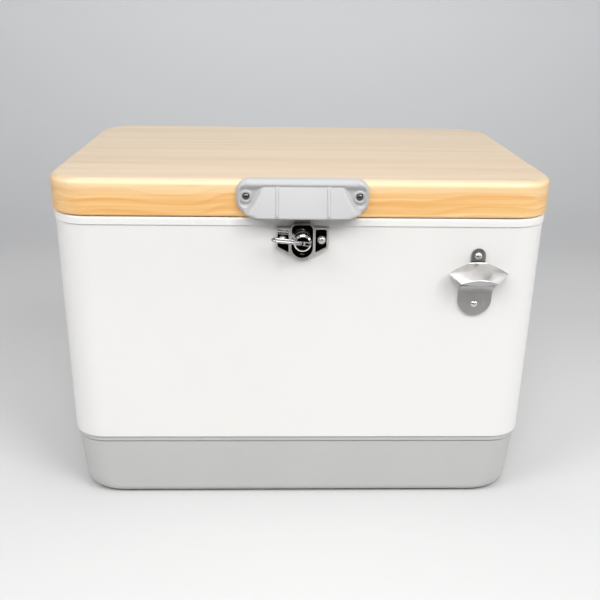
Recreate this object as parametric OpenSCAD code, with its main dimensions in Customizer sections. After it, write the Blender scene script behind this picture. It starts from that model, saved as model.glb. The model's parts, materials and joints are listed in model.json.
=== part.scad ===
// Hard-sided cooler chest: steel-wrapped insulated tub on a moulded base,
// hinged solid-wood lid, quarter-turn front latch, wall-type bottle opener,
// swing handles and a screw-cap drain. Millimetres, +Z up, front is -Y,
// origin on the floor under the middle of the chest.

/* [Overall] */
// Width of the lid, left to right
lid_w = 570; // [560:1:580]
// Depth of the lid, front to back
lid_d = 379.5; // [376:0.5:384]
// Plan corner radius of the lid
lid_r = 46.5; // [43:0.5:49]

/* [Lid] */
// Height of the lid's top face above the floor
lid_top = 409.2; // [409:0.1:409.4]
// Height of the lid's underside above the floor
lid_bot = 367.3; // [367.2:0.1:367.4]
// Radius of the rounded top edge of the wooden board
top_round = 8.2; // [6:0.1:10]
// Radius of the eased bottom edge of the wooden board
bot_round = 3.5; // [2:0.1:4]

/* [Body] */
// Height of the steel wrap's lower edge
seam_z = 86.8; // [85.5:0.1:88]
// Height of the lower edge of the rim skirt
rim_z = 357.1; // [356.9:0.1:357.3]
// Height of the rim's top face
rim_top = 366.4; // [366.3:0.1:366.5]
// Steel wrap thickness
steel_t = 0.8; // [0.7:0.05:0.9]
// Liner wall thickness
liner_t = 2.5; // [2.2:0.1:2.8]
// Base moulding wall thickness
base_t = 3; // [2.6:0.1:3.2]
// Height of the rubber feet
foot_h = 1.5; // [1.3:0.1:1.7]

/* [Latch and opener] */
// Height of the latch knob's axis
knob_z = 343; // [342.5:0.5:343.5]
// Left-to-right place of the bottle opener
opener_x = 201; // [195:1:208]

/* [Handles, hinges and drain] */
// Height of the side handles' pivots
pivot_z = 290; // [280:1:296]
// Left-to-right place of each lid hinge
hinge_x = 190; // [150:5:205]
// Front-to-back place of the drain
drain_y = 100; // [60:5:110]
// Height of the drain's axis
drain_z = 58; // [57.5:0.5:59]

/* [Hidden] */

cfn = 64;                       // plan corners
diff_wd = lid_w - lid_d;        // every outline is the lid's, offset inwards
function lerp(a, b, t) = a + (b - a) * t;
function dep(w) = w - diff_wd;

// widths of the body at its key heights
w_rim = lid_w - 2.4;
w_shell_top = lid_w - 4.7;
w_shell_bot = lid_w - 8.9;
w_lip = lid_w - 12.4;
w_base_top = lid_w - 15.1;
w_base_bot = lid_w - 24.3;
lip_z = seam_z - 5.4;           // the base steps out above this
base_up = seam_z + 18.6;        // top of the base's upstand, inside the wrap
shell_top_z = rim_top - 3.9;    // the wrap ends under the rim
function shell_w(z) = lerp(w_shell_bot, w_shell_top, (z - seam_z) / (rim_z - seam_z));
function shell_y(z) = dep(shell_w(z)) / 2;     // half depth of the wrap
function shell_x(z) = shell_w(z) / 2;          // half width of the wrap
function rad(w) = lid_r - (lid_w - w) / 2;
function base_w(z) = lerp(w_base_bot, w_base_top, (z - foot_h) / (lip_z - foot_h));

// inside of the liner
liner_w_top = lid_w - 76.4;
liner_w_bot = lid_w - 89;
floor_z = 42;
liner_r = 26;
function liner_w(z) = lerp(liner_w_bot, liner_w_top, (z - floor_z) / (rim_top - floor_z));

// latch
plate_y = -shell_y(rim_z) - 0.05;              // back of the latch plate
dome_y = plate_y - 9.3;                        // face of the raised centre
loop_y = dome_y - 10;                          // loop pivot
loop_tilt = 5.5;                               // the loop rests a little above level
strap_y = -lid_d / 2 - 0.1;                    // back of the strap on the lid

dx = shell_x(seam_z) - 2.4;                    // flat drain pad on the base
// hinge axis
hy = lid_d / 2 + 5.3;
hz = (lid_bot + rim_top) / 2;

module rr2(w, d, r) { offset(r = r, $fn = cfn) square([w - 2 * r, d - 2 * r], center = true); }
module slab(w, r, z, h) { translate([0, 0, z]) linear_extrude(height = h) rr2(w, dep(w), r); }
// one closed skin through a stack of rounded rectangles [width, radius, height]
function ring(w, r, z, n = 16) = [for (c = [0:3]) for (i = [0:n])
    let (a = 90 * c + 90 * i / n, sx = (c == 0 || c == 3) ? 1 : -1, sy = c < 2 ? 1 : -1)
    [sx * (w / 2 - r) + r * cos(a), sy * (dep(w) / 2 - r) + r * sin(a), z]];
module loft(rings) {
    m = len(ring(100, 10, 0)); n = len(rings);
    polyhedron(points = [for (q = rings) each ring(q[0], q[1], q[2])], convexity = 6,
        faces = concat([[for (i = [0:m - 1]) i]], [[for (i = [m - 1:-1:0]) (n - 1) * m + i]],
            [for (k = [0:n - 2], i = [0:m - 1]) let (j = (i + 1) % m) each
                [[k * m + i, (k + 1) * m + i, (k + 1) * m + j], [k * m + i, (k + 1) * m + j, k * m + j]]]));
}
module band(w0, r0, z0, w1, r1, z1) { loft([[w0, r0, z0], [w1, r1, z1]]); }
// a rounded-edge block: fillet a at the bottom, b at the top
module soft_block(w0, w1, r0, r1, z0, z1, a, b, n = 5) {
    loft(concat(
        a > 0 ? [for (i = [0:n]) let (t = 90 * i / n, k = a * (1 - sin(t))) [w0 - 2 * k, max(r0 - k, 2), z0 + a * (1 - cos(t))]] : [[w0, r0, z0]],
        b > 0 ? [for (i = [n:-1:0]) let (t = 90 * i / n, k = b * (1 - sin(t))) [w1 - 2 * k, max(r1 - k, 2), z1 - b * (1 - cos(t))]] : [[w1, r1, z1]]));
}
// a cross-recessed screw, head up along +Z, seated at z = 0
module screw(len = 14, d = 4, hd = 8, hh = 2.6) {
    rs = (hd * hd / 4 + hh * hh) / (2 * hh);
    difference() {
        union() {
            intersection() {
                translate([0, 0, hh - rs]) sphere(r = rs, $fn = 48);
                cylinder(h = hh, d = hd + 1, $fn = 48);
            }
            translate([0, 0, -len + 2]) cylinder(h = len - 2 + 0.4, d = d, $fn = 32);
            translate([0, 0, -len]) cylinder(h = 2.001, d1 = 0.8, d2 = d, $fn = 32);
        }
        for (a = [0, 90]) rotate([0, 0, a + 20]) translate([-hd * 0.28, -hd * 0.055, hh - 1.3]) cube([hd * 0.56, hd * 0.11, 3]);
    }
}
module front_at(x, y, z) { translate([x, y, z]) rotate([90, 0, 0]) children(); }
module back_at(x, y, z) { translate([x, y, z]) rotate([-90, 0, 0]) children(); }
module side_at(s, x, y, z) { translate([s * x, y, z]) rotate([0, s * 90, 0]) children(); }
module xz(y0, t) { translate([0, y0, 0]) rotate([90, 0, 0]) linear_extrude(height = t) children(); }

latch_screw_x = 22.1;
latch_screw_z = 341;
opener_z = [323.2, 265.4];
opener_up = 3.4;
plate_screws = [[-58, 14], [58, 14], [-58, -12], [58, -12]];
hinge_body_s = [[-20, hz - 21], [20, hz - 21], [-20, hz - 35], [20, hz - 35]];
hinge_lid_s = [[-20, hz + 15.5], [20, hz + 15.5], [-20, hz + 28], [20, hz + 28]];

// ---------------------------------------------------------------- body
module base_tub() {
    color([0.74, 0.74, 0.73]) difference() {
        union() {
            soft_block(w_base_bot, w_base_top, 38, rad(w_base_top), foot_h, lip_z, 8.4, 0);
            slab(w_lip, rad(w_lip), lip_z - 0.02, base_up - lip_z);
            side_at(1, dx - 12, drain_y, drain_z) cylinder(h = 12, r = 20, $fn = 64);
        }
        band(w_base_bot - 2 * base_t - 14, 30, foot_h + base_t, w_base_top - 2 * base_t, rad(w_base_top) - base_t, lip_z - 4);
        slab(w_base_top - 2 * base_t, rad(w_base_top) - base_t, lip_z - 4.02, 60);
        side_at(1, 240, drain_y, drain_z) cylinder(h = 60, r = 8.3, $fn = 48);
        for (x = [-1, 1], y = [-1, 1]) translate([x * 215, y * 120, 0]) cylinder(h = 20, r = 4.1, $fn = 32);
    }
}
module base_feet() {
    color([0.14, 0.14, 0.14]) for (x = [-1, 1], y = [-1, 1]) translate([x * 215, y * 120, 0]) {
        cylinder(h = foot_h - 0.05, r = 17, $fn = 48);
        cylinder(h = foot_h + 3.2, r = 4, $fn = 32);
    }
}
module outer_shell() {
    color([0.95, 0.95, 0.94]) difference() {
        union() {
            band(w_shell_bot, rad(w_shell_bot), seam_z, shell_w(shell_top_z), rad(shell_w(shell_top_z)), shell_top_z);
            // lapped seam down the middle of the back
            translate([0, 0, 0]) hull() {
                translate([-7, shell_y(seam_z) - 0.4, seam_z]) cube([14, 1.1, 0.01]);
                translate([-7, shell_y(rim_z - 1) - 0.4, rim_z - 1]) cube([14, 1.1, 0.01]);
            }
        }
        band(w_shell_bot - 2 * steel_t, rad(w_shell_bot) - steel_t, seam_z - 1,
            shell_w(shell_top_z) - 2 * steel_t, rad(shell_w(shell_top_z)) - steel_t, shell_top_z + 1);
        for (s = [-1, 1]) front_at(s * latch_screw_x, -170, latch_screw_z) cylinder(h = 40, r = 2.15, $fn = 24);
        for (z = opener_z) front_at(opener_x, -170, z) cylinder(h = 40, r = 2.15, $fn = 24);
        for (s = [-1, 1], p = plate_screws) side_at(s, 260, p[0], pivot_z + p[1]) cylinder(h = 40, r = 2.15, $fn = 24);
        for (s = [-1, 1], p = hinge_body_s) back_at(s * hinge_x + p[0], 170, p[1]) cylinder(h = 40, r = 2.15, $fn = 24);
    }
}
module inner_liner() {
    color([0.94, 0.94, 0.93]) difference() {
        union() {
            soft_block(liner_w_bot + 2 * liner_t, liner_w_top + 2 * liner_t, liner_r + liner_t, liner_r + liner_t,
                floor_z - liner_t, rim_top - 3, 12, 0);
            soft_block(w_rim, w_rim, rad(w_rim), rad(w_rim), rim_top - 3.6, rim_top, 0, 2.6);
            slab(w_rim, rad(w_rim), rim_z, rim_top - 3.59 - rim_z);
        }
        difference() {
            slab(w_rim - 2.2, rad(w_rim) - 1.1, rim_z - 1, rim_top - 3.6 - rim_z + 1);
            slab(liner_w_top + 2 * liner_t - 0.02, liner_r + liner_t, rim_z - 2, 20);
        }
        soft_block(liner_w_bot, liner_w_top, liner_r, liner_r, floor_z, rim_top + 1, 11, 0);
        side_at(1, 220, drain_y, drain_z) cylinder(h = 40, r = 8.3, $fn = 48);
        side_at(1, 225, drain_y, drain_z) cylinder(h = 15.2, r = 10.9, $fn = 48);
    }
}
module wall_insulation() {
    g = 0.3;
    color([0.93, 0.88, 0.66]) difference() {
        union() {
            band(w_base_bot - 2 * base_t - 16, 30, foot_h + base_t + g, w_base_top - 2 * base_t - 2 * g, rad(w_base_top) - base_t - g, lip_z - 4);
            slab(w_base_top - 2 * base_t - 2 * g, rad(w_base_top) - base_t - g, lip_z - 4.05, base_up - lip_z + 5);
            band(shell_w(base_up) - 2 * steel_t - 2 * g, rad(shell_w(base_up)) - steel_t - g, base_up + g,
                shell_w(rim_z - 1) - 2 * steel_t - 2 * g, rad(shell_w(rim_z)) - steel_t - g, rim_z - 0.6);
        }
        soft_block(liner_w_bot + 2 * liner_t + 2 * g, liner_w_top + 2 * liner_t + 2 * g, liner_r + liner_t + g, liner_r + liner_t + g,
            floor_z - liner_t - g, rim_top + 5, 11, 0);
        side_at(1, 230, drain_y, drain_z) cylinder(h = 60, r = 8.6, $fn = 48);
        // pockets for the backing plates and screw tips
        translate([-36, -200, latch_screw_z - 16]) cube([72, 30, 31.5]);
        translate([opener_x - 14, -200, 250]) cube([28, 30, 84]);
        for (s = [-1, 1]) translate([s > 0 ? 263 : -303, -72, pivot_z - 22]) cube([40, 144, 44]);
        for (s = [-1, 1]) translate([s * hinge_x - 32, 170, hz - 44]) cube([64, 32, 33]);
        for (x = [-1, 1], y = [-1, 1]) translate([x * 215, y * 120, 0]) cylinder(h = 9, r = 6, $fn = 32);
    }
}
module latch_backing_plate() {
    color([0.62, 0.62, 0.6]) difference() {
        translate([-34, -shell_y(latch_screw_z - 14) + steel_t + 0.2, latch_screw_z - 14]) cube([68, 4, 28]);
        for (s = [-1, 1]) front_at(s * latch_screw_x, -170, latch_screw_z) cylinder(h = 40, r = 2.1, $fn = 24);
    }
}
module opener_backing_plate() {
    color([0.62, 0.62, 0.6]) difference() {
        translate([opener_x - 12, -shell_y(252) + steel_t + 0.2, 252]) cube([24, 4, 80]);
        for (z = opener_z) front_at(opener_x, -170, z) cylinder(h = 40, r = 2.1, $fn = 24);
    }
}
module side_backing_plates() {
    color([0.62, 0.62, 0.6]) for (s = [-1, 1]) difference() {
        translate([s > 0 ? shell_x(pivot_z - 20) - steel_t - 4.2 : -(shell_x(pivot_z - 20) - steel_t - 0.2), -70, pivot_z - 20]) cube([4, 140, 40]);
        for (p = plate_screws) side_at(s, 250, p[0], pivot_z + p[1]) cylinder(h = 40, r = 2.1, $fn = 24);
    }
}
module hinge_backing_plates() {
    color([0.62, 0.62, 0.6]) for (s = [-1, 1]) difference() {
        translate([s * hinge_x - 30, shell_y(hz - 42) - steel_t - 4.2, hz - 42]) cube([60, 4, 29]);
        for (p = hinge_body_s) back_at(s * hinge_x + p[0], 160, p[1]) cylinder(h = 40, r = 2.1, $fn = 24);
    }
}

// ---------------------------------------------------------------- latch
module latch_outline(k = 0) {
    offset(r = 4.5 + k, $fn = 48) hull() {
        translate([-25.3, 334]) square([50.6, 17.2]);
        translate([0, 333.3]) circle(r = 11, $fn = 64);
    }
}
module dome_outline(k = 0) {
    hull() {
        for (s = [-1, 1]) translate([s * (13 - 7), 361.4 - 7]) circle(r = 7 + k, $fn = 48);
        translate([0, 321.2 + 13]) circle(r = 13 + k, $fn = 64);
    }
}
module latch_housing() {
    color([0.8, 0.8, 0.8]) difference() {
        union() {
            difference() {
                xz(plate_y, 3.2) latch_outline();
                // sunk wings leave a raised rim
                xz(plate_y - 1.4, 3) intersection() {
                    latch_outline(-2.2);
                    union() { translate([-40, 300]) square([25, 60]); translate([15, 300]) square([25, 60]); }
                }
            }
            xz(plate_y, 8.2) dome_outline();
            xz(plate_y - 8.19, 1.11) dome_outline(-1.1);
        }
        // strap channel, open at the top
        translate([-9.7, plate_y - 7.8, 327]) cube([19.4, 9, 50]);
        // clear of the rim skirt
        translate([-40, plate_y - 1.6, rim_z - 0.3]) cube([80, 3, 20]);
        front_at(0, plate_y, knob_z) cylinder(h = 20, r = 4.55, $fn = 48);
        for (s = [-1, 1]) front_at(s * latch_screw_x, -170, latch_screw_z) cylinder(h = 40, r = 2.15, $fn = 24);
        // drain slot under the knob
        translate([-2.6, plate_y - 12, 326.2]) cube([5.2, 8, 1.6]);
    }
}
module latch_screws() {
    color([0.8, 0.8, 0.8]) for (s = [-1, 1]) front_at(s * latch_screw_x, plate_y - 1.42, latch_screw_z) screw(12, 4, 9.4, 3.1);
}
module turn_knob() {
    color([0.8, 0.8, 0.8]) difference() {
        union() {
            front_at(0, dome_y - 0.2, knob_z) cylinder(h = 11.6, r = 9.8, $fn = 64);
            front_at(0, dome_y - 11.79, knob_z) cylinder(h = 2, r1 = 9.8, r2 = 8, $fn = 64);
            front_at(0, dome_y + 1.45, knob_z) cylinder(h = 2, r = 4.5, $fn = 48);
            translate([-2, dome_y, knob_z - 2]) cube([4, 6.1, 4]);
            front_at(0, dome_y + 7.1, knob_z) cylinder(h = 1, r = 2.9, $fn = 32);
        }
        translate([0, 0, knob_z]) rotate([0, loop_tilt, 0]) {
            translate([-20, dome_y - 20, -1.8]) cube([40, 16.4, 3.6]);
            translate([0, loop_y, -20]) cylinder(h = 40, r = 1.26, $fn = 24);
        }
    }
}
module latch_cam() {
    color([0.7, 0.7, 0.7]) difference() {
        intersection() {
            translate([-3, dome_y + 1.75, knob_z - 6]) cube([6, 4.3, 12]);
            front_at(0, dome_y + 10, knob_z) cylinder(h = 20, r = 6, $fn = 48);
        }
        translate([-2.05, dome_y, knob_z - 2.05]) cube([4.1, 9, 4.1]);
    }
}
module loop_pin() {
    color([0.7, 0.7, 0.7]) translate([0, loop_y, knob_z]) rotate([0, loop_tilt, 0]) translate([0, 0, -7.4]) cylinder(h = 14.8, r = 1.22, $fn = 24);
}
// slim wire loop, folded to the left
module pull_loop() {
    wr = 1.55; rr = 4.6; cx = -28.6; x0 = -1.2;
    color([0.8, 0.8, 0.8]) translate([0, loop_y, knob_z]) rotate([0, loop_tilt, 0]) difference() {
        union() {
            translate([0, 0, -1.65]) cylinder(h = 3.3, r = 3.3, $fn = 40);
            translate([x0, rr + 1, 0]) rotate([90, 0, 0]) cylinder(h = 2 * rr + 2, r = 1.6, $fn = 32);
            for (s = [-1, 1]) translate([cx, s * rr, 0]) rotate([0, 90, 0]) cylinder(h = x0 - cx, r = wr, $fn = 24);
            translate([cx, 0, 0]) rotate([0, 0, 90]) rotate_extrude(angle = 180, $fn = 64) translate([rr, 0]) circle(r = wr, $fn = 24);
        }
        translate([0, 0, -5]) cylinder(h = 10, r = 1.28, $fn = 24);
    }
}
module strike_strap() {
    z1 = 393; w = 8.5;
    color([0.8, 0.8, 0.8]) difference() {
        translate([-w, 0, 0]) rotate([90, 0, 90]) linear_extrude(height = 2 * w)
            polygon([[strap_y, z1], [strap_y - 1.5, z1], [strap_y - 1.5, 368.5], [strap_y - 2.8, 362.5],
                [strap_y - 2.8, 330.5], [strap_y - 1.3, 330.5], [strap_y - 1.3, 362.8], [strap_y, 368.8]]);
        front_at(0, -180, knob_z) cylinder(h = 30, r = 6.7, $fn = 48);
        translate([-3.4, -210, 320]) cube([6.8, 30, knob_z - 320]);
        for (z = [377, 388]) front_at(0, -180, z) cylinder(h = 30, r = 1.9, $fn = 24);
    }
}
module strike_screws() {
    color([0.7, 0.7, 0.7]) for (z = [377, 388]) front_at(0, strap_y - 1.52, z) screw(16, 3.4, 6.4, 1.7);
}

// ---------------------------------------------------------------- opener
op_back = plate_y;
// height of the hood's sheet above the wall, u across, v from the tab down to the lip
function hood_pt(u, v) =
    let (hw = lerp(8.2, 35, sin(90 * min(1, v * 1.9))),
         hx = v < 0.55 ? hw : lerp(35, 22, (v - 0.55) / 0.45),
         au = abs(u),
         zc = lerp(310, 292.5, v),
         ztip = v < 0.55 ? lerp(310, 299.5, v / 0.55) : lerp(299.5, 291.5, (v - 0.55) / 0.45),
         dc = 2 + 23 * pow(v, 0.85),
         dtip = v < 0.55 ? lerp(2, 9, v / 0.55) : lerp(9, 22, (v - 0.55) / 0.45),
         k = pow(au, 2.2))
    [u * hx, lerp(dc, dtip, k), lerp(zc, ztip, pow(au, 1.6))];
module bottle_opener() {
    nu = 14; nv = 8; t = 1.8;
    front = [for (j = [0:nv]) for (i = [0:nu]) let (p = hood_pt(-1 + 2 * i / nu, j / nv)) [p[0], -p[1], p[2]]];
    back = [for (j = [0:nv]) for (i = [0:nu]) let (p = hood_pt(-1 + 2 * i / nu, j / nv)) [p[0] * 0.985, -p[1] + t * 0.85, p[2] - t * 0.75 * (j == nv ? 0.35 : 1)]];
    m = (nu + 1) * (nv + 1);
    function q(a, b, c, d) = [[a, b, c], [a, c, d]];
    faces = [
        for (j = [0:nv - 1]) for (i = [0:nu - 1]) let (a = j * (nu + 1) + i)
            each concat(q(a, a + 1, a + nu + 2, a + nu + 1), q(m + a, m + a + nu + 1, m + a + nu + 2, m + a + 1)),
        for (i = [0:nu - 1]) let (b = nv * (nu + 1) + i) each concat(q(i + 1, i, m + i, m + i + 1), q(b, b + 1, m + b + 1, m + b)),
        for (j = [0:nv - 1]) let (a = j * (nu + 1), b = a + nu) each concat(q(a, a + nu + 1, m + a + nu + 1, m + a), q(b + nu + 1, b, m + b, m + b + nu + 1))
    ];
    color([0.78, 0.78, 0.78]) translate([opener_x, op_back, opener_up]) difference() {
        union() {
            // top tab
            xz(0, 2) hull() { translate([0, 320.6]) circle(r = 8.2, $fn = 48); translate([-8.2, 307]) square([16.4, 1]); }
            translate([0, 0.0, 0]) polyhedron(points = concat(front, back), faces = faces, convexity = 4);
            // lower plate with a round bottom
            xz(0, 2) hull() { translate([0, 267.4]) circle(r = 19.6, $fn = 64); translate([-19.6, 277]) square([39.2, 1]); }
            // lower jaw, leaning out from the plate
            translate([-19.6, 0, 0]) rotate([90, 0, 90]) linear_extrude(height = 39.2)
                polygon([[0, 276], [-2, 276], [-13.2, 285.6], [-13.2, 288.2], [-11.6, 288.2], [-11.2, 286.6], [0, 277.6]]);
            // rib that ties tab, hood and plate together behind the hood
            translate([-8.2, -2, 277]) cube([16.4, 2, 33]);
        }
        front_at(0, 10, opener_z[0] - opener_up) cylinder(h = 40, r = 2.15, $fn = 24);
        front_at(0, 10, opener_z[1] - opener_up) cylinder(h = 40, r = 2.15, $fn = 24);
    }
}
module opener_screws() {
    color([0.8, 0.8, 0.8]) for (z = opener_z) front_at(opener_x, op_back - 2.03, z) screw(13, 4, 9, 2.9);
}

// ---------------------------------------------------------------- side handles
side_x = shell_x(pivot_z + 18) + 0.2;          // inner face of the plate
pivot_x = side_x + 12.2;
module handle_plate(s) {
    color([0.8, 0.8, 0.8]) scale([1, 1, 1]) difference() {
        union() {
            translate([s > 0 ? side_x : -side_x - 2, 0, pivot_z]) rotate([90, 0, 90]) linear_extrude(height = 2)
                offset(r = 8, $fn = 48) square([136 - 16, 38 - 16], center = true);
            for (y = [-1, 1]) {
                translate([s * pivot_x, y * 48 + 1.5, pivot_z]) rotate([90, 0, 0]) cylinder(h = 3, r = 7, $fn = 48);
                translate([s > 0 ? side_x + 1 : -pivot_x, y * 48 - 1.5, pivot_z - 7]) cube([pivot_x - side_x - 1, 3, 14]);
                // stop for the raised handle
                translate([s > 0 ? side_x + 1 : -side_x - 15.4, y * 56 - 3.4, pivot_z + 4.7]) cube([14.4, 6.8, 2.6]);
            }
        }
        translate([s * pivot_x, 60, pivot_z]) rotate([90, 0, 0]) cylinder(h = 120, r = 3.56, $fn = 40);
        for (p = plate_screws) side_at(s, 260, p[0], pivot_z + p[1]) cylinder(h = 60, r = 2.15, $fn = 24);
    }
}
module left_handle_plate() { handle_plate(-1); }
module right_handle_plate() { handle_plate(1); }
module side_handle_screws() {
    color([0.8, 0.8, 0.8]) for (s = [-1, 1], p = plate_screws) side_at(s, side_x + 2.03, p[0], pivot_z + p[1]) screw(13, 4, 8, 2.4);
}
module bail(s) {
    r = 3.5; b = 9; h = 52; y1 = 56;
    color([0.8, 0.8, 0.8]) translate([s * pivot_x, 0, pivot_z]) {
        for (k = [-1, 1]) {
            translate([0, k > 0 ? y1 : -45, 0]) rotate([90, 0, 0]) cylinder(h = y1 - 45, r = r, $fn = 32);
            translate([0, k * y1, 0]) sphere(r = r, $fn = 32);
            translate([0, k * y1, -h + b]) cylinder(h = h - b, r = r, $fn = 32);
            translate([0, k * (y1 - b), -h + b]) rotate([0, 90, 0]) rotate([0, 0, k > 0 ? 0 : -90]) rotate_extrude(angle = 90, $fn = 48) translate([b, 0]) circle(r = r, $fn = 32);
        }
        translate([0, y1 - b, -h]) rotate([90, 0, 0]) cylinder(h = 2 * (y1 - b), r = r, $fn = 32);
    }
}
module left_bail() { bail(-1); }
module right_bail() { bail(1); }
module grip(s) {
    color([0.16, 0.16, 0.16]) translate([s * pivot_x, 0, pivot_z - 52]) rotate([90, 0, 0]) difference() {
        union() {
            translate([0, 0, -43]) cylinder(h = 86, r = 10.6, $fn = 48);
            for (z = [-36:9:36]) translate([0, 0, z - 2.6]) cylinder(h = 5.2, r = 11.4, $fn = 48);
        }
        translate([0, 0, -60]) cylinder(h = 120, r = 3.56, $fn = 32);
    }
}
module left_grip() { grip(-1); }
module right_grip() { grip(1); }

// ---------------------------------------------------------------- hinges
hl = 60;                        // hinge length
kr = 5;                         // knuckle radius
lug = 25 - plate_y - hy;        // open-lid stop
module knuckle(x0, x1) { translate([x0, hy, hz]) rotate([0, 90, 0]) cylinder(h = x1 - x0, r = kr, $fn = 40); }
module hinge_body_leaves() {
    yb = lid_d / 2 - 0.9;
    color([0.75, 0.75, 0.75]) for (s = [-1, 1]) translate([s * hinge_x, 0, 0]) difference() {
        union() {
            translate([-hl / 2, yb, hz - 40]) cube([hl, 2, 34]);
            for (x0 = [-hl / 2, 10.15]) {
                knuckle(x0, x0 + 19.85);
                translate([x0, yb, hz - 7]) cube([19.85, 2, 7]);
                translate([x0, yb, hz - 5]) cube([19.85, hy - yb, 5]);
                // stop lug meets the lid leaf when the lid is fully open
                translate([x0, hy, hz]) rotate([90, 0, 90]) linear_extrude(height = 19.85) polygon([[3, 1.8], [4, 1.8], [lug, -1.6], [lug, -4.4], [3, -3.9]]);
            }
        }
        translate([-50, hy, hz]) rotate([0, 90, 0]) cylinder(h = 100, r = 2.55, $fn = 32);
        for (p = hinge_body_s) back_at(p[0], 180, p[1]) cylinder(h = 30, r = 2.15, $fn = 24);
    }
}
module hinge_lid_leaves() {
    yl = lid_d / 2 + 0.1;
    color([0.75, 0.75, 0.75]) for (s = [-1, 1]) translate([s * hinge_x, 0, 0]) difference() {
        union() {
            translate([-hl / 2, yl, hz + 6]) cube([hl, 2, 27]);
            knuckle(-9.85, 9.85);
            translate([-9.85, yl, hz]) cube([19.7, 2, 8]);
            translate([-9.85, yl, hz]) cube([19.7, hy - yl, 5]);
        }
        translate([-50, hy, hz]) rotate([0, 90, 0]) cylinder(h = 100, r = 2.55, $fn = 32);
        for (p = hinge_lid_s) back_at(p[0], 180, p[1]) cylinder(h = 30, r = 2.15, $fn = 24);
    }
}
module hinge_pins() {
    color([0.7, 0.7, 0.7]) for (s = [-1, 1]) translate([s * hinge_x, hy, hz]) rotate([0, 90, 0]) {
        translate([0, 0, -hl / 2 - 1.7]) cylinder(h = hl + 3.4, r = 2.5, $fn = 32);
        for (z = [-hl / 2 - 2.2, hl / 2 + 0.2]) translate([0, 0, z]) cylinder(h = 2, r = 3.6, $fn = 32);
    }
}
module hinge_pads() {
    color([0.94, 0.94, 0.93]) for (s = [-1, 1]) translate([s * hinge_x, 0, 0]) difference() {
        translate([-30, shell_y(rim_z) + 0.05, hz - 41]) cube([60, lid_d / 2 - 0.9 - shell_y(rim_z) - 0.1, 29]);
        for (p = hinge_body_s) back_at(p[0], 180, p[1]) cylinder(h = 30, r = 2.15, $fn = 24);
    }
}
module hinge_body_screws() {
    color([0.8, 0.8, 0.8]) for (s = [-1, 1], p = hinge_body_s) back_at(s * hinge_x + p[0], lid_d / 2 + 1.13, p[1]) screw(14, 4, 8, 2.2);
}
module hinge_lid_screws() {
    color([0.8, 0.8, 0.8]) for (s = [-1, 1], p = hinge_lid_s) back_at(s * hinge_x + p[0], lid_d / 2 + 2.13, p[1]) screw(22, 4, 8, 2.2);
}

// ---------------------------------------------------------------- drain
module drain_spout() {
    color([0.92, 0.92, 0.91]) difference() {
        union() {
            side_at(1, 237.8, drain_y, drain_z) cylinder(h = dx + 21 - 237.8, r = 8, $fn = 48);
            side_at(1, 237.8, drain_y, drain_z) cylinder(h = 2, r = 10.5, $fn = 48);
        }
        side_at(1, 230, drain_y, drain_z) cylinder(h = 100, r = 5.5, $fn = 48);
    }
}
module drain_gasket() {
    color([0.2, 0.2, 0.2]) side_at(1, dx + 0.05, drain_y, drain_z) difference() {
        cylinder(h = 1.9, r = 14, $fn = 48);
        translate([0, 0, -1]) cylinder(h = 5, r = 8.2, $fn = 48);
    }
}
module drain_nut() {
    color([0.85, 0.85, 0.84]) side_at(1, dx + 2, drain_y, drain_z) difference() {
        cylinder(h = 6, r = 15.5, $fn = 6);
        translate([0, 0, -1]) cylinder(h = 8, r = 8.15, $fn = 48);
    }
}
module drain_cap() {
    color([0.92, 0.92, 0.91]) side_at(1, dx + 8.6, drain_y, drain_z) difference() {
        union() {
            cylinder(h = 17, r = 12.4, $fn = 64);
            for (a = [0:30:330]) rotate([0, 0, a]) translate([12.2, 0, 0]) cylinder(h = 17, r = 1.5, $fn = 24);
        }
        translate([0, 0, -1]) cylinder(h = 15.4, r = 8.08, $fn = 48);
    }
}
module drain_cap_seal() {
    color([0.2, 0.2, 0.2]) side_at(1, dx + 21.1, drain_y, drain_z) cylinder(h = 1.8, r = 8, $fn = 48);
}

// ---------------------------------------------------------------- lid
rec_w = lid_w - 74;             // recess for the lid insulation
reb_w = lid_w - 32;             // shallow rebate for the inner lid panel
gas_w = lid_w - 71;             // inner edge of the gasket
plug_w = lid_w - 86;            // panel's plug that drops into the chest
screw_ring = [for (x = [-220, -75, 75, 220], s = [-1, 1]) [x, s * (dep(lid_w - 43) / 2)],
    for (y = [-80, 80], s = [-1, 1]) [s * (lid_w - 43) / 2, y]];
module lid_board() {
    color([0.93, 0.76, 0.51]) difference() {
        soft_block(lid_w, lid_w, lid_r, lid_r, lid_bot, lid_top, bot_round, top_round, 6);
        slab(reb_w, rad(reb_w), lid_bot - 1, 3.7);
        slab(rec_w, 16, lid_bot - 1, 28);
        for (s = [-1, 1]) front_at(s * 62.5, -160, 391.3) cylinder(h = 40, r = 2.1, $fn = 24);
        for (z = [377, 388]) front_at(0, -170, z) cylinder(h = 40, r = 1.8, $fn = 24);
        for (s = [-1, 1], p = hinge_lid_s) back_at(s * hinge_x + p[0], 165, p[1]) cylinder(h = 40, r = 2.1, $fn = 24);
        for (p = screw_ring) translate([p[0], p[1], lid_bot]) cylinder(h = 14, r = 1.6, $fn = 24);
    }
}
module lid_liner() {
    z0 = lid_bot + 0.2;
    color([0.94, 0.94, 0.93]) difference() {
        union() {
            slab(reb_w - 0.8, rad(reb_w) - 0.4, z0, 2.3);
            soft_block(plug_w, plug_w, 20, 20, lid_bot - 12.5, z0 + 1, 5, 0);
        }
        slab(plug_w - 5, 17.5, lid_bot - 10, 30);
        difference() { slab(gas_w + 16, 29, z0 - 1, 2.5); slab(gas_w, 21, z0 - 2, 5); }
        for (p = screw_ring) translate([p[0], p[1], z0 - 1]) {
            cylinder(h = 5, r = 1.7, $fn = 24);
            translate([0, 0, 1]) cylinder(h = 1.7, r1 = 3.3, r2 = 1.7, $fn = 32);
        }
    }
}
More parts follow.
